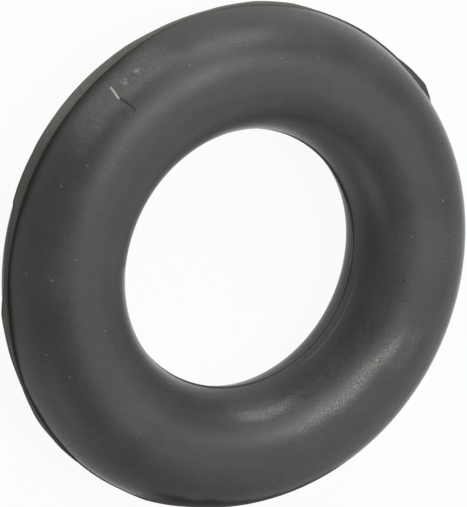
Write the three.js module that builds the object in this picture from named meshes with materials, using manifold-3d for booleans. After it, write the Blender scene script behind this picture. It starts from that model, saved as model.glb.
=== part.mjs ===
// Exhaust hanger: one moulded rubber ring that hangs on a hook of the car and carries a hook of the exhaust.
// Sizes are in millimetres. The ring lies flat, its axis is Z, and z = 0 is the plane where the mould halves met.
// Angles are in degrees round Z, from +X towards +Y.

import * as THREE from 'three';
import { mergeVertices } from 'three/addons/utils/BufferGeometryUtils.js';
import Module from 'manifold-3d';

const wasm = await Module();
wasm.setup();

// The ring
const outsideDiameter = 61;
const boreDiameter = 31.8;
const ringThickness = 13;
const cornerRound = 6.5;

// The fin of rubber that squeezed out between the mould halves, all round the outside
const finThickness = 0.35;
const finRootDepth = 0.8;

// The corners that the knife left when it trimmed the fin, and how far the fin reaches past the ring at each
const finCorners = [
  { angle: 0, reach: 0.3 },
  { angle: 38, reach: 0.25 },
  { angle: 40, reach: 0.6 },
  { angle: 43, reach: 0.95 },
  { angle: 48, reach: 0.72 },
  { angle: 53, reach: 0.38 },
  { angle: 78, reach: 0.41 },
  { angle: 85, reach: 0.6 },
  { angle: 93, reach: 0.62 },
  { angle: 106, reach: 0.4 },
  { angle: 118, reach: 0.6 },
  { angle: 126, reach: 0.85 },
  { angle: 133, reach: 0.97 },
  { angle: 139, reach: 1.07 },
  { angle: 145, reach: 1.16 },
  { angle: 150, reach: 1.2 },
  { angle: 158, reach: 1.18 },
  { angle: 167.5, reach: 1.12 },
  { angle: 169.5, reach: 0.8 },
  { angle: 175, reach: 0.58 },
  { angle: 182, reach: 0.41 },
  { angle: 186, reach: 0.46 },
  { angle: 192.5, reach: 0.92 },
  { angle: 201, reach: 0.74 },
  { angle: 210, reach: 0.57 },
  { angle: 219, reach: 0.76 },
  { angle: 227, reach: 0.56 },
  { angle: 234, reach: 0.37 },
  { angle: 247, reach: 0.28 },
  { angle: 254, reach: 0.38 },
  { angle: 265, reach: 0.21 },
  { angle: 320, reach: 0.3 },
];

// The low seam that the mould left round the bore
const seamReach = 0.18;
const seamWidth = 0.4;
const seamRootDepth = 0.5;

// Facets of the round forms
const ringFacets = 96;
const cornerFacets = 8;
const finStepAngle = 3;

const outsideRadius = outsideDiameter / 2;
const boreRadius = boreDiameter / 2;
const ringWidth = outsideRadius - boreRadius;
const pitchRadius = ( outsideRadius + boreRadius ) / 2;

const rubber = new THREE.MeshStandardMaterial( { color: 0x47494a, roughness: 0.62, metalness: 0 } );

// One corner of the section, as points on a quarter circle that starts at the given angle.
function cornerArc( centreX, centreY, radius, startAngle ) {

  const points = [];
  for ( let step = 0; step <= cornerFacets; step ++ ) {

    const angle = THREE.MathUtils.degToRad( startAngle + 90 * step / cornerFacets );
    points.push( new THREE.Vector2( centreX + radius * Math.cos( angle ), centreY + radius * Math.sin( angle ) ) );

  }

  return points;

}

// Leaves out each point that lies on the one before it, and closes the profile on its first point.
function closedProfile( points ) {

  const nearest = 1e-6;
  const kept = points.filter( ( point, index ) => {

    const before = points[ ( index + points.length - 1 ) % points.length ];
    return point.distanceTo( before ) > nearest;

  } );
  return [ ...kept, kept[ 0 ].clone() ];

}

// A closed profile in the plane of radius and height, turned round Z.
function turned( profile ) {

  return new THREE.LatheGeometry( profile, ringFacets ).rotateX( Math.PI / 2 );

}

// The ring's section: a rounded block whose sides are half-round and whose two faces keep a narrow flat.
function ringBody() {

  const radius = Math.min( cornerRound, ringWidth / 2, ringThickness / 2 );
  const across = ringWidth / 2 - radius;
  const up = ringThickness / 2 - radius;
  return turned( closedProfile( [
    ...cornerArc( pitchRadius + across, up, radius, 0 ),
    ...cornerArc( pitchRadius - across, up, radius, 90 ),
    ...cornerArc( pitchRadius - across, - up, radius, 180 ),
    ...cornerArc( pitchRadius + across, - up, radius, 270 ),
  ] ) );

}

// The outer fin: a thin plate whose edge runs from corner to corner of the trimming.
function outerFin() {

  const edge = [];
  finCorners.forEach( ( corner, index ) => {

    const next = finCorners[ ( index + 1 ) % finCorners.length ];
    const sweep = ( next.angle - corner.angle + 360 ) % 360;
    const steps = Math.ceil( sweep / finStepAngle );
    for ( let step = 0; step < steps; step ++ ) {

      const share = step / steps;
      const turn = THREE.MathUtils.degToRad( corner.angle + sweep * share );
      const radius = outsideRadius + THREE.MathUtils.lerp( corner.reach, next.reach, share );
      edge.push( new THREE.Vector2( radius * Math.cos( turn ), radius * Math.sin( turn ) ) );

    }

  } );
  const plate = new THREE.Shape( edge );
  plate.holes.push( new THREE.Path().absarc( 0, 0, outsideRadius - finRootDepth, 0, 2 * Math.PI, true ) );
  const geometry = new THREE.ExtrudeGeometry( plate, {
    depth: finThickness,
    bevelEnabled: false,
    curveSegments: ringFacets / 2,
  } );
  return geometry.translate( 0, 0, - finThickness / 2 );

}

// The inner seam: a low ridge with a sharp crest round the bore.
function innerSeam() {

  return turned( closedProfile( [
    new THREE.Vector2( boreRadius + seamRootDepth, seamWidth / 2 ),
    new THREE.Vector2( boreRadius, seamWidth / 2 ),
    new THREE.Vector2( boreRadius - seamReach, 0 ),
    new THREE.Vector2( boreRadius, - seamWidth / 2 ),
    new THREE.Vector2( boreRadius + seamRootDepth, - seamWidth / 2 ),
  ] ) );

}

// A closed geometry as a solid that can be joined with others.
function toSolid( geometry ) {

  const bare = geometry.clone();
  bare.deleteAttribute( 'normal' );
  bare.deleteAttribute( 'uv' );
  const merged = mergeVertices( bare );
  return new wasm.Manifold( new wasm.Mesh( {
    numProp: 3,
    vertProperties: new Float32Array( merged.attributes.position.array ),
    triVerts: new Uint32Array( merged.index.array ),
  } ) );

}

// A joined solid as a geometry again.
function toGeometry( solid ) {

  const mesh = solid.getMesh();
  const geometry = new THREE.BufferGeometry();
  geometry.setAttribute( 'position', new THREE.BufferAttribute( new Float32Array( mesh.vertProperties ), 3 ) );
  geometry.setIndex( new THREE.BufferAttribute( new Uint32Array( mesh.triVerts ), 1 ) );
  geometry.computeVertexNormals();
  return geometry;

}

// The ring with its fin and seam is one moulding, so it is one solid.
function hangerRing() {

  const moulding = toSolid( ringBody() ).add( toSolid( outerFin() ) ).add( toSolid( innerSeam() ) );
  const mesh = new THREE.Mesh( toGeometry( moulding ), rubber );
  mesh.name = 'hanger_ring';
  return mesh;

}

const hanger = new THREE.Group();
hanger.add( hangerRing() );

export default hanger;
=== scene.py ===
import math

import bpy
import numpy as np
from mathutils import Matrix, Vector, noise


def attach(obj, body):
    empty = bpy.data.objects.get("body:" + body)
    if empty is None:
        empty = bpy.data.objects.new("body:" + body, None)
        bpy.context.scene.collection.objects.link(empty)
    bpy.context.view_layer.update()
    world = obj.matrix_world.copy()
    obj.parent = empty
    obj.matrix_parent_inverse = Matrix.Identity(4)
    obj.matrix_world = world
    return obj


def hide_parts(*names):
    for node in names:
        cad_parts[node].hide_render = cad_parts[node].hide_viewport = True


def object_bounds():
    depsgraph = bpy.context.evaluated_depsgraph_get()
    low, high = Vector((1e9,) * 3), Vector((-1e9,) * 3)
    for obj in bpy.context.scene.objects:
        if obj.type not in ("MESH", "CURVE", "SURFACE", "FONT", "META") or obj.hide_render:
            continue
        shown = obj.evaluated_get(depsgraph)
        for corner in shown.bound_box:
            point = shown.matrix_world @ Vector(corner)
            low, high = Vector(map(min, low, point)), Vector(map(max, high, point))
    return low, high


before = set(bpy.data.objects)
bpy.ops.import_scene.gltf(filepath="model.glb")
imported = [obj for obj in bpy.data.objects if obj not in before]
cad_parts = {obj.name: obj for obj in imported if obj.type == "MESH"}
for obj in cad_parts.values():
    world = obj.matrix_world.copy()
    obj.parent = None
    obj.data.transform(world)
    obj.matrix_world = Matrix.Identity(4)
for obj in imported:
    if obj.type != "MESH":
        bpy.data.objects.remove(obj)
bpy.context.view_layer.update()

# Looks of the exhaust hanger: one moulded rubber ring with a trimmed mould fin.
# Lengths are in metres. The ring's axis is Z, and angles are in degrees round it from +X towards +Y.
# A place on the ring is given by its ring angle and its section angle, which is 0 at the outside, 90 at the
# top and 180 at the bore.

MM = 0.001

# The ring, as the solid has it
RING_NODE = "hanger_ring"
OUTSIDE_RADIUS = 30.5 * MM
BORE_RADIUS = 15.9 * MM
SIDE_ROUND = 6.5 * MM
FIN_THICKNESS = 0.35 * MM
SEAM_WIDTH = 0.4 * MM

PITCH_RADIUS = (OUTSIDE_RADIUS + BORE_RADIUS) / 2
HALF_FLAT = (OUTSIDE_RADIUS - BORE_RADIUS) / 2 - SIDE_ROUND

# The trimmed edge of the fin, as the solid has it: (angle, reach past the ring in mm) at each corner
FIN_CORNERS = [
    (0, 0.3), (38, 0.25), (40, 0.6), (43, 0.95), (48, 0.72), (53, 0.38), (78, 0.41), (85, 0.6), (93, 0.62),
    (106, 0.4), (118, 0.6), (126, 0.85), (133, 0.97), (139, 1.07), (145, 1.16), (150, 1.2), (158, 1.18),
    (167.5, 1.12), (169.5, 0.8), (175, 0.58), (182, 0.41), (186, 0.46), (192.5, 0.92), (201, 0.74),
    (210, 0.57), (219, 0.76), (227, 0.56), (234, 0.37), (247, 0.28), (254, 0.38), (265, 0.21), (320, 0.3),
]
# How far the ridge in the bore stands out, in the same way
SEAM_HEIGHTS = [
    (4, 0.06), (20, 0.16), (32, 0.24), (44, 0.16), (90, 0.12), (150, 0.16), (210, 0.12), (270, 0.15),
    (300, 0.06), (330, 0.03), (350, 0.1),
]
# How far the body spreads past its round form beside the fin, in the same way, because the ring isn't quite
# round, the section angle at which the spread has faded out, and how far the fin stands out past it at least
BODY_SPREADS = [
    (40, 0), (60, 0.15), (80, 0.28), (112, 0.28), (122, 0.2), (133, 0), (192, 0), (200, 0.12), (209, 0.28),
    (235, 0.25), (260, 0.12), (300, 0),
]
SPREAD_ANGLE = 25
FIN_LEAST = 0.1 * MM

# The short cuts and the fraying of the fin's edge. A cut's place may shift by so many degrees.
CUTS_ROUND = 66
CUT_SHIFT = 2
CUT_DEPTH = 0.035 * MM
CUT_SEED = 5
FRAY_DEPTH = 0.012 * MM
FRAY_BENDS = 400
FRAY_SEED = 3.0

# The fin's wave up and down, and its thickness at the rim as a share of that at the root
FIN_WAVE = 0.05 * MM
FIN_WAVE_BENDS = 24
FIN_WAVE_SEED = 7.0
FIN_TIP_SHARE = 0.78
FIN_TIP_CHANGE = 0.2
FIN_TIP_BENDS = 90
FIN_TIP_SEED = 11.0

# The crease at the roots of the fin and of the seam, and the bevel of the fin's rim and of the seam's crest
CREASE_DEPTH = 0.03 * MM
CREASE_WIDTH = 0.05 * MM
SEAM_CREASE_SHARE = 0.8
EDGE_BEVEL = 0.05 * MM

# The low, wide unevenness of the surface, and the smaller one on it, as shares of its size and height
SWELL_HEIGHT = 0.012 * MM
SWELL_SIZE = 7 * MM
SMALL_SWELL_SIZE = 0.3
SMALL_SWELL_HEIGHT = 0.25

# The scratch near the photo's upper left: the ring angle and section angle where it starts, where its pale
# part ends and where it ends, and its size
SCRATCH_PATH = [(135.3, 25), (136.1, 40), (135.5, 61)]
SCRATCH_WIDTH = 0.32 * MM
SCRATCH_DEPTH = 0.07 * MM

# How finely the visible ring is cut up. The steps across the scratch and beside it are finer, in degrees.
STEPS_ROUND = 900
SCRATCH_STEP = 0.1
SCRATCH_MARGIN = 1.2
FIN_STEPS = 4
OUTER_ARC_STEPS = 19
FLAT_STEPS = 2
INNER_ARC_STEPS = 18


# The ring's mesh

def round_the_ring(corners, angles):
    """Straight runs between corners given as (angle, mm)."""
    places, values = zip(*corners)
    return np.interp(angles, places, values, period=360) * MM


def wander(angles, bends, seed):
    """A smooth wandering value round the ring, between about -1 and 1, with about so many bends."""
    spread = bends / (2 * math.pi)
    places = [(spread * math.cos(turn), spread * math.sin(turn), seed) for turn in np.radians(angles)]
    return np.array([noise.noise(Vector(place)) for place in places])


def fin_reach(angles):
    """How far the fin stands out past the ring: the knife's long and short cuts, and a little fraying."""
    rng = np.random.default_rng(CUT_SEED)
    places = np.arange(CUTS_ROUND) * 360 / CUTS_ROUND + rng.uniform(-CUT_SHIFT, CUT_SHIFT, CUTS_ROUND)
    short_cuts = np.interp(angles, places, rng.uniform(-1, 1, CUTS_ROUND), period=360)
    long_cuts = round_the_ring(FIN_CORNERS, angles)
    fraying = wander(angles, FRAY_BENDS, FRAY_SEED)
    return long_cuts + CUT_DEPTH * short_cuts + FRAY_DEPTH * fraying


def fin_points(angles, side, reach, spread):
    """One side of the fin, from its rim to the bottom of the crease at its root."""
    half_root = FIN_THICKNESS / 2
    thinning = wander(angles, FIN_TIP_BENDS, FIN_TIP_SEED + side)
    half_tip = half_root * (FIN_TIP_SHARE + FIN_TIP_CHANGE * thinning)
    lift = FIN_WAVE * wander(angles, FIN_WAVE_BENDS, FIN_WAVE_SEED)
    rim = OUTSIDE_RADIUS + reach
    start = rim - EDGE_BEVEL
    root = np.minimum(OUTSIDE_RADIUS + spread + CREASE_WIDTH, start)

    points = [(rim, lift + side * (half_tip - EDGE_BEVEL))]
    for share in np.linspace(0, 1, FIN_STEPS + 1):
        half = half_tip + (half_root - half_tip) * share
        points.append((start + (root - start) * share, lift * (1 - share) + side * half))
    crease_height = side * (half_root - CREASE_DEPTH) * np.ones_like(angles)
    points.append((OUTSIDE_RADIUS + spread, crease_height))
    return points


def body_path():
    """The centre and the angle of each point of the half-round sides and of the flat between them."""
    outer_centre = PITCH_RADIUS + HALF_FLAT
    inner_centre = PITCH_RADIUS - HALF_FLAT
    top = math.pi / 2
    start = math.asin((FIN_THICKNESS / 2 + CREASE_DEPTH) / SIDE_ROUND)
    end = math.pi - math.asin(SEAM_WIDTH / SIDE_ROUND)
    outer_side = [(outer_centre, angle) for angle in np.linspace(start, top, OUTER_ARC_STEPS + 1)]
    flat = [(centre, top) for centre in np.linspace(outer_centre, inner_centre, FLAT_STEPS + 1)[1:-1]]
    inner_side = [(inner_centre, angle) for angle in np.linspace(top, end, INNER_ARC_STEPS + 1)]
    return outer_side + flat + inner_side


def body_points(angles, side, spread):
    """The ring's body on one side of the mid-plane, from the fin's root to the seam's."""
    points = []
    for centre, angle in body_path():
        outward, upward = math.cos(angle), side * math.sin(angle)
        section_angle = math.degrees(angle)
        proud = swell(angles, centre + SIDE_ROUND * outward, SIDE_ROUND * upward)
        proud += spread * fade_out(section_angle / SPREAD_ANGLE)
        if side > 0:
            proud -= scratch_depth(angles, section_angle)
        points.append((centre + (SIDE_ROUND + proud) * outward, (SIDE_ROUND + proud) * upward))
    return points


def seam_points(angles, side):
    """One side of the ridge in the bore: the bottom of its crease, and its crest."""
    even = np.ones_like(angles)
    foot = BORE_RADIUS + CREASE_DEPTH * SEAM_CREASE_SHARE
    crest = BORE_RADIUS - round_the_ring(SEAM_HEIGHTS, angles)
    return [(foot * even, side * SEAM_WIDTH / 2 * even), (crest, side * EDGE_BEVEL * even)]


def half_section(angles, side):
    """Half of the section at each ring angle, from the fin's rim to the bore's crest; side is 1 or -1."""
    reach = fin_reach(angles)
    spread = np.minimum(round_the_ring(BODY_SPREADS, angles), np.maximum(reach - FIN_LEAST, 0))
    fin = fin_points(angles, side, reach, spread)
    return fin + body_points(angles, side, spread) + seam_points(angles, side)


def fade_out(share):
    """Falls smoothly from 1 to 0 as the share goes from 0 to 1."""
    return math.cos(math.pi / 2 * min(share, 1)) ** 2


def swell(angles, radius, height):
    """Very low, wide unevenness of the moulded surface at each ring angle."""
    turns = np.radians(angles)
    spots = np.stack([radius * np.cos(turns), radius * np.sin(turns), np.full_like(turns, height)], axis=1)
    wide = [noise.noise(Vector(spot) / SWELL_SIZE) for spot in spots]
    small = [noise.noise(Vector(spot) / (SWELL_SIZE * SMALL_SWELL_SIZE)) for spot in spots]
    return SWELL_HEIGHT * (np.array(wide) + SMALL_SWELL_HEIGHT * np.array(small))


def scratch_depth(angles, section_angle):
    """Depth of the scratch at each ring angle: a narrow groove that fades out at its two ends."""
    path_angles, path_sections = zip(*SCRATCH_PATH)
    along = (section_angle - path_sections[0]) / (path_sections[-1] - path_sections[0])
    if not 0 < along < 1:
        return 0
    middle = np.interp(section_angle, path_sections, path_angles)
    off = np.radians(angles - middle) * (PITCH_RADIUS + SIDE_ROUND * math.cos(math.radians(section_angle)))
    return SCRATCH_DEPTH * math.sin(math.pi * along) * np.exp(-(off / (SCRATCH_WIDTH / 2)) ** 2)


def ring_angles():
    """The ring angles of the mesh: even steps, with finer ones across the scratch."""
    even = np.arange(STEPS_ROUND) * 360 / STEPS_ROUND
    scratched = [angle for angle, _ in SCRATCH_PATH]
    fine = np.arange(min(scratched) - SCRATCH_MARGIN, max(scratched) + SCRATCH_MARGIN, SCRATCH_STEP)
    return np.unique(np.round(np.concatenate([even, fine]), 4))


def ring_mesh():
    """One closed mesh for the whole moulding: the section at every angle round the ring."""
    angles = ring_angles()
    section = half_section(angles, 1) + half_section(angles, -1)[::-1]
    radius = np.stack([point[0] for point in section], axis=1)
    height = np.stack([point[1] for point in section], axis=1)
    turn = np.radians(angles)[:, None]
    corners = np.stack([radius * np.cos(turn), radius * np.sin(turn), height], axis=2).reshape(-1, 3)

    across = len(section)
    here = np.arange(len(angles))[:, None] * across + np.arange(across)[None, :]
    beside = np.roll(here, -1, axis=0)
    faces = np.stack([here, beside, np.roll(beside, -1, axis=1), np.roll(here, -1, axis=1)], axis=2)
    mesh = bpy.data.meshes.new("moulded_ring")
    mesh.from_pydata(corners.tolist(), [], faces.reshape(-1, 4).tolist())
    mesh.validate()
    mesh.polygons.foreach_set("use_smooth", np.ones(len(mesh.polygons), dtype=bool))
    mesh.update()
    return mesh


def make_ring():
    ring = bpy.data.objects.new("moulded_ring", ring_mesh())
    bpy.context.scene.collection.objects.link(ring)
    ring.data.materials.append(rubber_material())
    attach(ring, "root")
    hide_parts(RING_NODE)


def surface_place(ring_angle, section_angle):
    """The point of the ring at a ring angle and a section angle."""
    turn, tilt = math.radians(ring_angle), math.radians(section_angle)
    radius = PITCH_RADIUS + math.copysign(HALF_FLAT, math.cos(tilt)) + SIDE_ROUND * math.cos(tilt)
    return Vector((radius * math.cos(turn), radius * math.sin(turn), SIDE_ROUND * math.sin(tilt)))


# Materials

# The shares of its width between which a stroke fades out, and the share of its radius from which a spot does
STROKE_FADE = (0.1, 0.9)
SPOT_CORE = 0.4


def grey(value):
    """A grey colour."""
    return (value, value, value, 1)


class Nodes:
    """Small helper that adds nodes to a material and links them."""

    def __init__(self, tree):
        self.tree = tree

    def add(self, kind, settings=None, **inputs):
        node = self.tree.nodes.new(kind)
        for name, value in (settings or {}).items():
            setattr(node, name, value)
        for name, value in inputs.items():
            self.put(node.inputs[name], value)
        return node

    def put(self, socket, value):
        if isinstance(value, bpy.types.NodeSocket):
            self.tree.links.new(value, socket)
        else:
            socket.default_value = value

    def math(self, operation, *values):
        node = self.add("ShaderNodeMath", {"operation": operation})
        for socket, value in zip(node.inputs, values):
            self.put(socket, value)
        return node.outputs[0]

    def chain(self, operation, first, *others):
        """Joins values by one operation, from left to right."""
        for other in others:
            first = self.math(operation, first, other)
        return first

    def plus(self, *values):
        return self.chain("ADD", *values)

    def times(self, *values):
        return self.chain("MULTIPLY", *values)

    def most(self, *values):
        return self.chain("MAXIMUM", *values)

    def vector(self, operation, *values):
        node = self.add("ShaderNodeVectorMath", {"operation": operation})
        for socket, value in zip(node.inputs, values):
            self.put(socket, value)
        return node.outputs

    def ramp(self, value, low, high, out_low=0.0, out_high=1.0):
        node = self.add("ShaderNodeMapRange", {"interpolation_type": "SMOOTHSTEP"})
        for name, given in (("Value", value), ("From Min", low), ("From Max", high),
                            ("To Min", out_low), ("To Max", out_high)):
            self.put(node.inputs[name], given)
        return node.outputs["Result"]

    def noise(self, place, size, detail, roughness):
        settings = {"Scale": 1 / size, "Detail": detail, "Roughness": roughness}
        return self.add("ShaderNodeTexNoise", Vector=place, **settings).outputs["Fac"]

    def mix(self, share, first, second):
        """Mixes two colours."""
        node = self.add("ShaderNodeMix", {"data_type": "RGBA"})
        for index, value in ((0, share), (6, first), (7, second)):
            self.put(node.inputs[index], value)
        return node.outputs[2]

    def stroke(self, place, ends, width):
        """1 along a short line between two places of the ring, given as (ring angle, section angle)."""
        start, end = [surface_place(*there) for there in ends]
        reach = self.vector("SUBTRACT", place, start)["Vector"]
        along = self.vector("DOT_PRODUCT", reach, (end - start) / (end - start).length_squared)["Value"]
        along = self.math("MINIMUM", self.math("MAXIMUM", along, 0.0), 1.0)
        nearest = self.add("ShaderNodeVectorMath", {"operation": "SCALE"}, Vector=end - start, Scale=along)
        away = self.vector("DISTANCE", reach, nearest.outputs["Vector"])["Value"]
        solid, faded = STROKE_FADE
        return self.ramp(away, width * solid, width * faded, 1.0, 0.0)

    def spot(self, place, ring_angle, section_angle, radius):
        """1 at a place on the ring, and 0 beyond a radius from it."""
        away = self.vector("DISTANCE", place, surface_place(ring_angle, section_angle))["Value"]
        return self.ramp(away, radius * SPOT_CORE, radius, 1.0, 0.0)

    def spots(self, place, rows):
        """Several such places, given as (ring angle, section angle, radius in mm)."""
        marks = [self.spot(place, around, up, radius * MM) for around, up, radius in rows]
        return self.most(*marks)

    def surface_angles(self, place, radius, height):
        """The ring angle and the section angle of the surface, in degrees."""
        parts = self.add("ShaderNodeSeparateXYZ", Vector=place).outputs
        around = self.math("ARCTAN2", parts["Y"], parts["X"])
        out = self.math("SUBTRACT", radius, PITCH_RADIUS)
        middle = self.math("MAXIMUM", self.math("MINIMUM", out, HALF_FLAT), -HALF_FLAT)
        section = self.math("ARCTAN2", height, self.math("SUBTRACT", out, middle))
        return [self.math("MULTIPLY", angle, 180 / math.pi) for angle in (around, section)]

    def zone(self, value, start, end, fade):
        """1 between two values, and fading to 0 over a stretch outside each."""
        rising = self.ramp(value, start - fade, start)
        return self.times(rising, self.ramp(value, end, end + fade, 1.0, 0.0))

    def ray_kinds(self):
        """Whether a ray comes from the camera, and whether it is mirrored or has passed through something."""
        ray = self.add("ShaderNodeLightPath").outputs
        return ray["Is Camera Ray"], self.most(ray["Is Glossy Ray"], ray["Is Transmission Ray"])


# The rubber's noises: size, detail and roughness. The mottle also bends the edges of ragged patches, by so
# many degrees from its lowest value to its highest.
MOTTLE = (5 * MM, 5.0, 0.62)
CLOUD = (11 * MM, 2.0, 0.5)
GRAIN = (0.28 * MM, 3.0, 0.75)
FINE_GRAIN = (0.17 * MM, 2.0, 0.6)
SPECKLE = (0.6 * MM, 4.0, 0.7)
RAGGEDNESS = 18

# How much of a tint or a mark shows through a noise: (noise from, noise to, share from, share to)
TINT_MOTTLE = (0.3, 0.7, 0.0, 0.35)
TINT_GRAIN = (0.3, 0.7, 0.0, 0.65)
FILM_CLOUD = (0.5, 0.72, 0.0, 1.0)
FILM_GRAIN = (0.35, 0.7, 0.5, 1.0)
BLOOM_GRAIN = (0.35, 0.75, 0.45, 1.0)
GLINT_GRAIN = (0.4, 0.7, 0.0, 0.6)
HIGHLIGHT_GRAIN = (0.35, 0.65, 0.1, 1.0)
DULL_SPECKLE = (0.35, 0.7, 1.0, 0.5)
FIN_GRAIN = (0.25, 0.75, 0.6, 1.0)

# Specks of dust and bloom: ring angle, section angle, radius in mm
PALE_SPECKS = [
    (117.6, 57.7, 0.16), (92.2, 75.3, 0.14), (81.1, 71.1, 0.13), (100.4, 120.2, 0.15), (103.6, 125.3, 0.13),
    (111.0, 74.1, 0.12), (103.5, 52.1, 0.12), (101.2, 58.0, 0.12), (-177.9, 27.7, 0.2), (-177.2, 56.3, 0.2),
    (160.5, 42.1, 0.15), (153.4, 56.7, 0.15), (176.9, 79.3, 0.14), (-160.6, 97.7, 0.14), (-158.6, 44.4, 0.14),
    (-151.8, 61.0, 0.14), (20.1, 80.0, 0.2), (10.1, 67.1, 0.14), (2.6, 80.4, 0.14), (11.7, 107.7, 0.13),
    (128.2, 29.5, 0.22), (132.3, 30.5, 0.2), (127.2, 33.5, 0.15), (130.4, 27, 0.14), (125.6, 37, 0.15),
    (130, 36.5, 0.12), (141.5, 33, 0.14), (139.6, 28, 0.13),
]
DARK_SPECKS = [(-3.9, 112.8, 0.25), (-10.6, 106.7, 0.25)]

# Each patch below runs between two ring angles and between two section angles, and fades out over so many
# degrees beyond them: (from, to, fade)

# The bloomed patch beside the scratch, and a faintly paler stretch on the far wall of the bore
BLOOM_RING = (126, 143, 11)
BLOOM_SECTION = (24, 40, 14)
PALE_BORE_RING = (32, 84, 26)
PALE_BORE_SECTION = (138, 166, 14)
# The painted glints in the patch, and the faint trace beside the scratch, from one place to another
GLINT_SPOTS = [(128.5, 29.5, 0.55), (132.3, 31, 0.65)]
FAINT_TRACE = [(138, 54), (138.6, 64)]

# The worn streak at the lower right as the camera sees it, with a painted highlight: the ring angles over
# which it comes and goes, how its section angle changes from one value to another between two ring angles,
# and its width in degrees from its middle
STREAK_START = (-86, -44)
STREAK_END = (-30, -15)
STREAK_TURN = (-38, -18)
STREAK_SECTION = (105.5, 94)
STREAK_WIDE = (-3, 3, 12)
STREAK_CORE = (-0.5, 0.5, 8)
# The worn spot beyond the streak's start, which also takes the painted highlight
STREAK_SPOT_RING = (-84, -73, 12)
STREAK_SPOT_SECTION = (131, 134, 7)
# The dull area above the streak, darkened as a painted dark reflection, in degrees from its middle, and the
# section angles over which it ends
DULL_RING = (-64, -24, 16)
DULL_OFF_STREAK = (26, 60, 14)
DULL_END = (146, 164)

# The dull dark smear at the bottom edge as the camera sees it: painted shade, standing in for shadow and dark
# reflection there
SHADE_SMEAR_RING = (-101, -68, 16)
SHADE_SMEAR_SECTION = (-30, 37, 17)

# The fin's colour: the heights over which it ends, the radii over which it starts, the stretch towards +Y
# over which it grows paler with painted light, its browner spot and its darker stretch
FIN_FACES = (0.19 * MM, 0.215 * MM)
FIN_START = (OUTSIDE_RADIUS + 0.02 * MM, OUTSIDE_RADIUS + 0.06 * MM)
FIN_PAINTED_LIGHT_SPAN = (0, 16 * MM)
FIN_BROWN_SPOT = (171, 0, 15 * MM)
FIN_DARK_RING = (42, 74, 5)

# The crease beside the seam, darkened with painted shade, and the stretch of the seam with a painted
# highlight
CREASE_SHADE = (0.05 * MM, 0.13 * MM, 0.6, 0.0)
RIDGE_HIGHLIGHT_RING = (-44, -14, 14)
RIDGE_HIGHLIGHT_SECTION = (166, 167, 1.5)

# How strongly each mark shows
FILM_SHARE = 0.09
PALE_BORE_SHARE = 0.3
BLOOM_SHARE = 0.6
STREAK_WIDE_SHARE = 0.35
STREAK_CORE_SHARE = 0.65
STREAK_SPOT_SHARE = 0.55
PAINTED_DARK_SHARE = 0.8
RIDGE_HIGHLIGHT_SHARE = 0.4
GROOVE_SHARE = 0.95
TRACE_SHARE = 0.35
SPECK_SHARE = 0.8

# How wide the scratch's groove, its pale stroke and the trace are drawn
GROOVE_WIDTH = SCRATCH_WIDTH * 1.1
STROKE_WIDTH = SCRATCH_WIDTH * 0.65
TRACE_WIDTH = SCRATCH_WIDTH * 1.5

RUBBER_DARK = (0.0330, 0.0370, 0.0345, 1)
RUBBER_LIGHT = (0.0590, 0.0640, 0.0580, 1)
# painted highlight along the worn streak
PAINTED_HIGHLIGHT_PALE = (0.275, 0.275, 0.258, 1)
# painted dark reflection above the streak
PAINTED_DARK_REFLECTION = (0.024, 0.026, 0.024, 1)
# painted shade of the smear at the bottom edge
PAINTED_SHADE_DARK = grey(0.006)
# pale bloom, also the painted highlight on the seam's ridge
PALE_BLOOM_AND_RIDGE_HIGHLIGHT = (0.195, 0.197, 0.185, 1)
# the fin's tan colour in a lit and a shaded copy, for painted light towards +Y
FIN_PAINTED_LIT = (0.165, 0.157, 0.138, 1)
FIN_PAINTED_SHADED = (0.125, 0.117, 0.103, 1)
FIN_BROWN = (0.078, 0.069, 0.061, 1)
FIN_DARK = (0.055, 0.052, 0.046, 1)
# pale scratch, also the painted glints beside it
SCRATCH_AND_GLINT_PALE = (0.55, 0.55, 0.51, 1)
SCRATCH_DARK = (0.022, 0.022, 0.020, 1)
# painted shade in the seam's creases, and the colour of the dark specks
CREASE_SHADE_AND_SPECK_DARK = (0.010, 0.010, 0.009, 1)
SPECK_COLOUR = (0.20, 0.20, 0.19, 1)

# The rubber's roughness from one value of the mottle to another, and how much it changes where the surface is
# worn or dull, on the fin, and where the surface is seen at a grazing angle
MOTTLE_ROUGHNESS = (0.3, 0.7, 0.41, 0.49)
WORN_ROUGHNESS = -0.1
DULL_ROUGHNESS = 0.25
FIN_ROUGHNESS = 0.3
GRAZING = (0.55, 0.9, 0.0, -0.27)
# Places that are rubbed smooth or have a dull skin: the ring angles and the section angles that each runs
# between, and how much its roughness differs. Each fades out over so many degrees.
SKIN_PLACES = [
    ((-150, -122), (-20, 12), -0.16),
    ((122, 180), (126, 180), 0.14),
    ((30, 75), (-20, 8), -0.1),
]
SKIN_FADE = 14
SHEEN = 0.1
SHEEN_ROUGHNESS = 0.3

# How strongly the grain, the mottle and the worn places show in the relief
GRAIN_RELIEF = 1.6
MOTTLE_RELIEF = 2.5
WORN_RELIEF = 5.0
RELIEF_HEIGHT = 0.02 * MM


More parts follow.
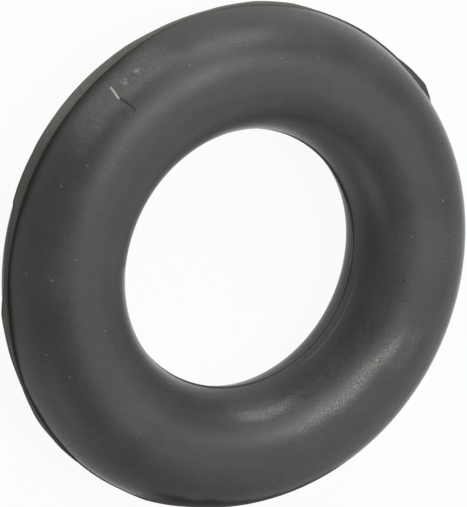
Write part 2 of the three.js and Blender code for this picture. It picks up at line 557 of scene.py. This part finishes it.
class Surface:
    """Where a point of the ring's surface is, and the noises that its marks share."""

    def __init__(self, nodes):
        self.place = nodes.add("ShaderNodeTexCoord").outputs["Object"]
        height = nodes.add("ShaderNodeSeparateXYZ", Vector=self.place).outputs["Z"]
        flat_place = nodes.vector("MULTIPLY", self.place, (1, 1, 0))["Vector"]
        self.radius = nodes.vector("LENGTH", flat_place)["Value"]
        self.level = nodes.math("ABSOLUTE", height)
        self.ring_angle, self.section_angle = nodes.surface_angles(self.place, self.radius, height)

        self.mottle = nodes.noise(self.place, *MOTTLE)
        self.cloud = nodes.noise(self.place, *CLOUD)
        self.grain = nodes.noise(self.place, *GRAIN)
        self.fine_grain = nodes.noise(self.place, *FINE_GRAIN)
        self.speckle = nodes.noise(self.place, *SPECKLE)

        ragged = nodes.times(nodes.math("SUBTRACT", self.mottle, 0.5), RAGGEDNESS)
        self.ragged_ring_angle = nodes.plus(self.ring_angle, ragged)
        self.ragged_section_angle = nodes.plus(self.section_angle, ragged)
        streak_middle = nodes.ramp(self.ring_angle, *STREAK_TURN, *STREAK_SECTION)
        self.off_streak = nodes.plus(nodes.math("SUBTRACT", self.section_angle, streak_middle), ragged)


def plain_rubber(nodes, surface):
    """The rubber's own colour, lighter and darker with the mottle and the grain."""
    tint = nodes.plus(nodes.ramp(surface.mottle, *TINT_MOTTLE), nodes.ramp(surface.grain, *TINT_GRAIN))
    return nodes.mix(tint, RUBBER_DARK, RUBBER_LIGHT)


def bloom_and_pale_bore_mark(nodes, surface):
    """Bloom: a thin film in clouds and the patch beside the scratch; and a paler stretch on the far wall of
    the bore.
    """
    film = nodes.times(nodes.ramp(surface.cloud, *FILM_CLOUD), nodes.ramp(surface.grain, *FILM_GRAIN))
    pale_bore = nodes.times(nodes.zone(surface.ring_angle, *PALE_BORE_RING),
                             nodes.zone(surface.section_angle, *PALE_BORE_SECTION))
    patch = nodes.times(nodes.zone(surface.ragged_ring_angle, *BLOOM_RING),
                        nodes.zone(surface.ragged_section_angle, *BLOOM_SECTION),
                        nodes.ramp(surface.grain, *BLOOM_GRAIN))
    films = nodes.plus(nodes.times(film, FILM_SHARE), nodes.times(pale_bore, PALE_BORE_SHARE))
    return nodes.most(films, nodes.times(patch, BLOOM_SHARE))


def wear_and_highlight_mark(nodes, surface):
    """Where the surface is worn and the colour has a painted highlight: the streak, strongest along its
    middle, and the spot beyond its start.
    """
    wide = nodes.times(nodes.zone(surface.off_streak, *STREAK_WIDE), STREAK_WIDE_SHARE)
    core = nodes.times(nodes.zone(surface.off_streak, *STREAK_CORE), STREAK_CORE_SHARE)
    streak = nodes.times(nodes.plus(wide, core),
                         nodes.ramp(surface.ring_angle, *STREAK_START),
                         nodes.ramp(surface.ring_angle, *STREAK_END, 1.0, 0.0))
    spot = nodes.times(nodes.zone(surface.ring_angle, *STREAK_SPOT_RING),
                       nodes.zone(surface.ragged_section_angle, *STREAK_SPOT_SECTION),
                       STREAK_SPOT_SHARE)
    return nodes.most(streak, spot)


def dull_and_painted_dark_mark(nodes, surface):
    """The dull area above the streak, with a painted dark reflection in its colour."""
    return nodes.times(nodes.zone(surface.ring_angle, *DULL_RING),
                       nodes.zone(surface.off_streak, *DULL_OFF_STREAK),
                       nodes.ramp(surface.section_angle, *DULL_END, 1.0, 0.0),
                       nodes.ramp(surface.speckle, *DULL_SPECKLE))


def painted_shade_smear_mark(nodes, surface):
    """Painted shade: the dull dark smear at the bottom edge."""
    return nodes.times(nodes.zone(surface.ragged_ring_angle, *SHADE_SMEAR_RING),
                       nodes.zone(surface.ragged_section_angle, *SHADE_SMEAR_SECTION))


def fin_mark(nodes, surface):
    """1 on the fin, and 0 on the body."""
    return nodes.times(nodes.ramp(surface.level, *FIN_FACES, 1.0, 0.0),
                       nodes.ramp(surface.radius, *FIN_START))


def fin_colour(nodes, surface):
    """The fin is paler towards +Y with painted light, browner round one spot and darker along one stretch."""
    across = nodes.vector("DOT_PRODUCT", surface.place, (0, 1, 0))["Value"]
    # painted light: the fin grows paler towards +Y, where the light falls
    colour = nodes.mix(nodes.ramp(across, *FIN_PAINTED_LIGHT_SPAN), FIN_PAINTED_SHADED, FIN_PAINTED_LIT)
    colour = nodes.mix(nodes.spot(surface.place, *FIN_BROWN_SPOT), colour, FIN_BROWN)
    return nodes.mix(nodes.zone(surface.ring_angle, *FIN_DARK_RING), colour, FIN_DARK)


def painted_crease_shade_mark(nodes, surface):
    """Painted shade in the crease on each side of the seam in the bore."""
    beside = nodes.math("SUBTRACT", surface.radius, BORE_RADIUS)
    above = nodes.math("SUBTRACT", surface.level, SEAM_WIDTH / 2)
    away = nodes.math("SQRT", nodes.plus(nodes.times(beside, beside), nodes.times(above, above)))
    return nodes.ramp(away, *CREASE_SHADE)


def painted_ridge_highlight_mark(nodes, surface):
    """The painted highlight along a stretch of the seam."""
    return nodes.times(nodes.zone(surface.ring_angle, *RIDGE_HIGHLIGHT_RING),
                       nodes.zone(surface.section_angle, *RIDGE_HIGHLIGHT_SECTION),
                       RIDGE_HIGHLIGHT_SHARE)


def groove_mark(nodes, surface):
    """The dark part of the scratch, and the faint trace beside it."""
    groove = nodes.stroke(surface.place, SCRATCH_PATH[1:], GROOVE_WIDTH)
    trace = nodes.stroke(surface.place, FAINT_TRACE, TRACE_WIDTH)
    return nodes.most(nodes.times(groove, GROOVE_SHARE), nodes.times(trace, TRACE_SHARE))


def stroke_and_glint_mark(nodes, surface):
    """The pale part of the scratch, and the painted glints beside it."""
    stroke = nodes.stroke(surface.place, SCRATCH_PATH[:2], STROKE_WIDTH)
    glints = nodes.times(nodes.spots(surface.place, GLINT_SPOTS), nodes.ramp(surface.grain, *GLINT_GRAIN))
    return nodes.most(stroke, glints)


def rubber_roughness(nodes, surface, wear_and_highlight, dull_and_painted_dark, fin, painted_shade_smear):
    """How rough the surface is; the smear of painted shade has no gloss."""
    facing = nodes.add("ShaderNodeLayerWeight", Blend=0.5).outputs["Facing"]
    rough = nodes.plus(nodes.ramp(surface.mottle, *MOTTLE_ROUGHNESS),
                       nodes.times(wear_and_highlight, WORN_ROUGHNESS),
                       nodes.times(dull_and_painted_dark, DULL_ROUGHNESS),
                       nodes.ramp(facing, *GRAZING),
                       nodes.times(fin, FIN_ROUGHNESS))
    for around, up, change in SKIN_PLACES:
        skin = nodes.times(nodes.zone(surface.ring_angle, *around, SKIN_FADE),
                           nodes.zone(surface.section_angle, *up, SKIN_FADE),
                           change)
        rough = nodes.plus(rough, skin)
    return nodes.most(rough, painted_shade_smear)


def rubber_relief(nodes, surface, wear_and_highlight):
    """The grain and the mottle as shallow bump, with more of it where the surface is worn."""
    relief = nodes.plus(nodes.times(surface.grain, GRAIN_RELIEF),
                        nodes.times(surface.mottle, MOTTLE_RELIEF),
                        nodes.times(wear_and_highlight, surface.fine_grain, WORN_RELIEF))
    bump = nodes.add("ShaderNodeBump", Strength=1.0, Distance=RELIEF_HEIGHT, Height=relief)
    return bump.outputs["Normal"]


def rubber_material():
    """Dark rubber, with each mark laid over those before it."""
    material = bpy.data.materials.new("rubber")
    material.use_nodes = True
    nodes = Nodes(material.node_tree)
    surface = Surface(nodes)
    wear_and_highlight = wear_and_highlight_mark(nodes, surface)
    dull_and_painted_dark = dull_and_painted_dark_mark(nodes, surface)
    painted_shade_smear = painted_shade_smear_mark(nodes, surface)
    fin = fin_mark(nodes, surface)

    colour = plain_rubber(nodes, surface)
    for share, paint in (
        (bloom_and_pale_bore_mark(nodes, surface), PALE_BLOOM_AND_RIDGE_HIGHLIGHT),
        # painted dark reflection above the streak
        (nodes.times(dull_and_painted_dark, PAINTED_DARK_SHARE), PAINTED_DARK_REFLECTION),
        # painted highlight along the worn streak
        (nodes.times(wear_and_highlight, nodes.ramp(surface.fine_grain, *HIGHLIGHT_GRAIN)), PAINTED_HIGHLIGHT_PALE),
        # painted shade: the smear at the bottom edge
        (painted_shade_smear, PAINTED_SHADE_DARK),
        (nodes.times(fin, nodes.ramp(surface.grain, *FIN_GRAIN)), fin_colour(nodes, surface)),
        # painted shade in the seam's creases
        (painted_crease_shade_mark(nodes, surface), CREASE_SHADE_AND_SPECK_DARK),
        # painted highlight on the seam's ridge
        (painted_ridge_highlight_mark(nodes, surface), PALE_BLOOM_AND_RIDGE_HIGHLIGHT),
        (groove_mark(nodes, surface), SCRATCH_DARK),
        # the pale scratch and the painted glints
        (stroke_and_glint_mark(nodes, surface), SCRATCH_AND_GLINT_PALE),
        (nodes.times(nodes.spots(surface.place, PALE_SPECKS), SPECK_SHARE), SPECK_COLOUR),
        (nodes.spots(surface.place, DARK_SPECKS), CREASE_SHADE_AND_SPECK_DARK),
    ):
        colour = nodes.mix(share, colour, paint)

    shader = material.node_tree.nodes["Principled BSDF"]
    nodes.put(shader.inputs["Base Color"], colour)
    nodes.put(shader.inputs["Roughness"], rubber_roughness(nodes, surface, wear_and_highlight, dull_and_painted_dark, fin, painted_shade_smear))
    nodes.put(shader.inputs["Sheen Weight"], SHEEN)
    nodes.put(shader.inputs["Sheen Roughness"], SHEEN_ROUGHNESS)
    nodes.put(shader.inputs["Normal"], rubber_relief(nodes, surface, wear_and_highlight))
    return material


# The stage

# The floor's size and colour and how white the camera sees it, and the world's strength as light and in gloss
FLOOR_HALF_SIDE = 1.5
FLOOR_COLOUR = grey(0.8)
FLOOR_WHITENESS = 0.95
WORLD_LIGHT = 0.02
MIRRORED_WORLD = 0.35

# How pale the floor looks in the ring's gloss: (angle round the ring, paleness), and within the bore
MIRRORED_PALENESS = [
    (-180, 0.15), (-135, 1.0), (-90, 0.0), (-45, 0.25), (0, 0.5), (45, 1.0), (90, 1.0), (135, 0.6),
    (180, 0.15),
]
INNER_PALENESS = 0.6


def fill_ramp(ramp, stops):
    """Puts grey stops, given as (place, value), into a colour ramp."""
    while len(ramp.elements) > 1:
        ramp.elements.remove(ramp.elements[-1])
    for index, (position, value) in enumerate(stops):
        stop = ramp.elements[0] if index == 0 else ramp.elements.new(position)
        stop.position = position
        stop.color = grey(value)


def mirrored_paleness(nodes):
    """How pale the floor looks in the ring's gloss, by the place on the floor."""
    place = nodes.add("ShaderNodeTexCoord").outputs["Object"]
    parts = nodes.add("ShaderNodeSeparateXYZ", Vector=place).outputs
    turn = nodes.math("ARCTAN2", parts["Y"], parts["X"])
    share = nodes.plus(nodes.math("DIVIDE", turn, 2 * math.pi), 0.5)
    paleness = nodes.add("ShaderNodeValToRGB", Fac=share)
    fill_ramp(paleness.color_ramp, [(angle / 360 + 0.5, pale) for angle, pale in MIRRORED_PALENESS])
    beyond = nodes.ramp(nodes.vector("LENGTH", place)["Value"], BORE_RADIUS, OUTSIDE_RADIUS)
    return nodes.mix(beyond, grey(INNER_PALENESS), paleness.outputs["Color"])


def floor_material():
    """Pale floor: plain white to the camera and pale in reflections, with the object's shadow kept."""
    material = bpy.data.materials.new("pale_floor")
    material.use_nodes = True
    tree = material.node_tree
    tree.nodes.remove(tree.nodes["Principled BSDF"])
    nodes = Nodes(tree)
    plain = nodes.add("ShaderNodeBsdfDiffuse", Color=FLOOR_COLOUR)
    white = nodes.add("ShaderNodeEmission", Color=grey(1), Strength=1.0)
    from_camera, mirrored = nodes.ray_kinds()
    shown = nodes.times(mirrored, mirrored_paleness(nodes))
    choice = nodes.add("ShaderNodeMixShader")
    nodes.put(choice.inputs[0], nodes.most(shown, nodes.times(from_camera, FLOOR_WHITENESS)))
    nodes.put(choice.inputs[1], plain.outputs[0])
    nodes.put(choice.inputs[2], white.outputs[0])
    nodes.put(tree.nodes["Material Output"].inputs["Surface"], choice.outputs[0])
    return material


def make_floor():
    half = FLOOR_HALF_SIDE
    corners = [(-half, -half, 0), (half, -half, 0), (half, half, 0), (-half, half, 0)]
    mesh = bpy.data.meshes.new("floor")
    mesh.from_pydata(corners, [], [(0, 1, 2, 3)])
    floor = bpy.data.objects.new("floor", mesh)
    floor.location.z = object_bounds()[0][2]
    floor.data.materials.append(floor_material())
    bpy.context.scene.collection.objects.link(floor)


# The camera's view of the ring: how far the ring's axis leans from the line of sight, which way it leans in
# the picture, and where the ring's centre is from the camera (right, up, behind). The lens and the sensor
# are in mm.
AXIS_LEAN = 32.58
AXIS_TURN = -26.25
CENTRE_SEEN = Vector((0.43, -0.54, -731.1)) * MM
LENS = 437.5
SENSOR_WIDTH = 36
NEAREST_SEEN = 0.05
FURTHEST_SEEN = 10


def camera_axes():
    """Matrix that turns a direction of the picture (right, up, towards the viewer) into one of the ring."""
    lean, turn = math.radians(AXIS_LEAN), math.radians(AXIS_TURN)
    axis = Vector((math.sin(lean) * math.cos(turn), math.sin(lean) * math.sin(turn), math.cos(lean)))
    across = Vector((0, 1, 0)).cross(axis).normalized()
    return Matrix((across, axis.cross(across), axis))


def make_camera():
    axes = camera_axes()
    data = bpy.data.cameras.new("camera")
    data.lens = LENS
    data.sensor_width = SENSOR_WIDTH
    data.clip_start = NEAREST_SEEN
    data.clip_end = FURTHEST_SEEN
    camera = bpy.data.objects.new("camera", data)
    camera.matrix_world = Matrix.Translation(-(axes @ CENTRE_SEEN)) @ axes.to_4x4()
    bpy.context.scene.collection.objects.link(camera)
    bpy.context.scene.camera = camera


# Soft lamps: name, direction from the ring as the picture has it (right, up, towards the viewer), width and
# height, and power in watts
LAMP_DISTANCE = 0.9
SQUARE = (0.27, 0.27)
STRIP = (0.12, 0.5)
LAMPS = [
    ("strip", (0.79, -0.20, 0.58), STRIP, 0.95),
    ("key", (0.62, 0.05, 0.79), SQUARE, 3.6),
    ("top", (0.44, 0.77, 0.46), SQUARE, 3.2),
    ("front", (-0.18, 0.64, 0.75), SQUARE, 0.7),
    ("right", (0.87, -0.46, 0.18), SQUARE, 0.27),
    ("right_behind", (0.90, -0.25, -0.35), SQUARE, 0.25),
    ("low_right", (0.70, -0.71, -0.02), SQUARE, 0.37),
    ("low_right_behind", (0.74, -0.56, -0.37), SQUARE, 0.36),
    ("bottom_right", (0.35, -0.90, 0.27), SQUARE, 0.18),
    ("bottom", (-0.01, -0.97, 0.22), SQUARE, 0.08),
    ("low_left", (-0.38, -0.89, 0.24), SQUARE, 0.62),
]


def make_lamp(name, direction, size, power):
    """A rectangular lamp that faces the ring, upright in the picture."""
    direction = (camera_axes() @ Vector(direction)).normalized()
    upright = camera_axes() @ Vector((0, 1, 0))
    side = upright.cross(direction).normalized()
    data = bpy.data.lights.new(name, "AREA")
    data.shape = "RECTANGLE"
    data.size, data.size_y = size
    data.energy = power
    lamp = bpy.data.objects.new(name, data)
    turn = Matrix((side, direction.cross(side), direction)).transposed()
    lamp.matrix_world = Matrix.Translation(direction * LAMP_DISTANCE) @ turn.to_4x4()
    lamp.visible_camera = False
    bpy.context.scene.collection.objects.link(lamp)


def make_world():
    """A dim even surround, plain white to the camera."""
    world = bpy.data.worlds.new("studio")
    world.use_nodes = True
    nodes = Nodes(world.node_tree)
    background = world.node_tree.nodes["Background"]
    background.inputs["Color"].default_value = grey(1)
    from_camera, mirrored = nodes.ray_kinds()
    pale = nodes.most(from_camera, nodes.times(mirrored, MIRRORED_WORLD))
    nodes.put(background.inputs["Strength"], nodes.most(pale, WORLD_LIGHT))
    bpy.context.scene.world = world


make_ring()
make_camera()
make_floor()
make_world()
for lamp in LAMPS:
    make_lamp(*lamp)
bpy.context.scene.view_settings.view_transform = "Standard"
